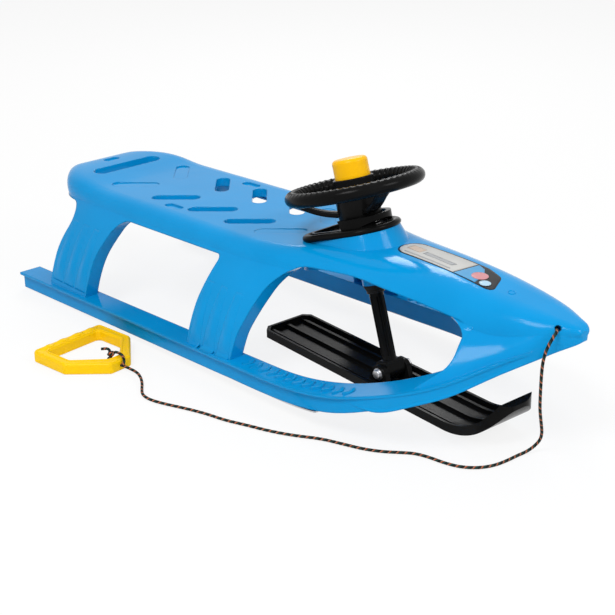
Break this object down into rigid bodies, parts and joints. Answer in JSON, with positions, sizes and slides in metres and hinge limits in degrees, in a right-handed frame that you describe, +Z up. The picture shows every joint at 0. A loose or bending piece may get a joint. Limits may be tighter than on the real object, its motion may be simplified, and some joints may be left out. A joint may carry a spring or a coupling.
{
  "type": "steering sled",
  "caption": "Moulded children's sled with a slotted deck, steel-shod runners, a steering wheel with a press horn turning a front ski, and a tow rope with a handle.",
  "frame": {"origin": "on the floor, under the middle of the sled's length and width", "axes": "+X forward to the nose, +Y to the rider's left, +Z up"},
  "size_m": [1.0356, 0.5326, 0.3234],
  "materials": {
    "blue_plastic": "glossy",
    "black_plastic": "satin",
    "yellow_cap": "satin",
    "yellow_handle": "satin",
    "steel": "brushed",
    "bearing_plastic": "matt",
    "bellows_rubber": "matt",
    "rope": "braided"
  },
  "bodies": {
    "sled": {"sled_body": "blue_plastic", "runner_strip_left": "steel", "runner_strip_right": "steel", "strip_rivets": "steel", "steering_base": "black_plastic", "base_screws": "steel", "upper_bush": "bearing_plastic", "lower_bush": "bearing_plastic", "tow_rope": "rope", "nose_knot": "rope", "handle_knot": "rope", "tow_handle": "yellow_handle"},
    "steering": {"steering_column": "black_plastic", "column_clip": "steel", "steering_wheel": "black_plastic", "wheel_pin": "steel", "wheel_screw": "steel", "horn_ring": "black_plastic", "horn_bellows": "bellows_rubber", "ski_bolt": "steel", "bolt_washers": "steel", "bolt_nut": "steel"},
    "horn": {"horn_button": "yellow_cap"},
    "ski": {"steering_ski": "black_plastic"}
  },
  "joints": [
    {"name": "steering", "type": "hinge", "parent": "sled", "child": "steering", "pos_m": [0.13112, 0, 0.21852], "axis": [-0.2964, 0, 0.9551], "range_deg": [-15.4, 24.6]},
    {"name": "horn_press", "type": "slide", "parent": "steering", "child": "horn", "axis": [0.2964, 0, -0.9551], "range_m": [0, 0.005], "stiffness_N_per_m": 400, "deforming": ["horn_bellows"]},
    {"name": "ski_pitch", "type": "hinge", "parent": "steering", "child": "ski", "pos_m": [0.1924, 0, 0.02105], "axis": [0.0766, 0.9968, 0.0238], "range_deg": [-9, 10]}
  ]
}
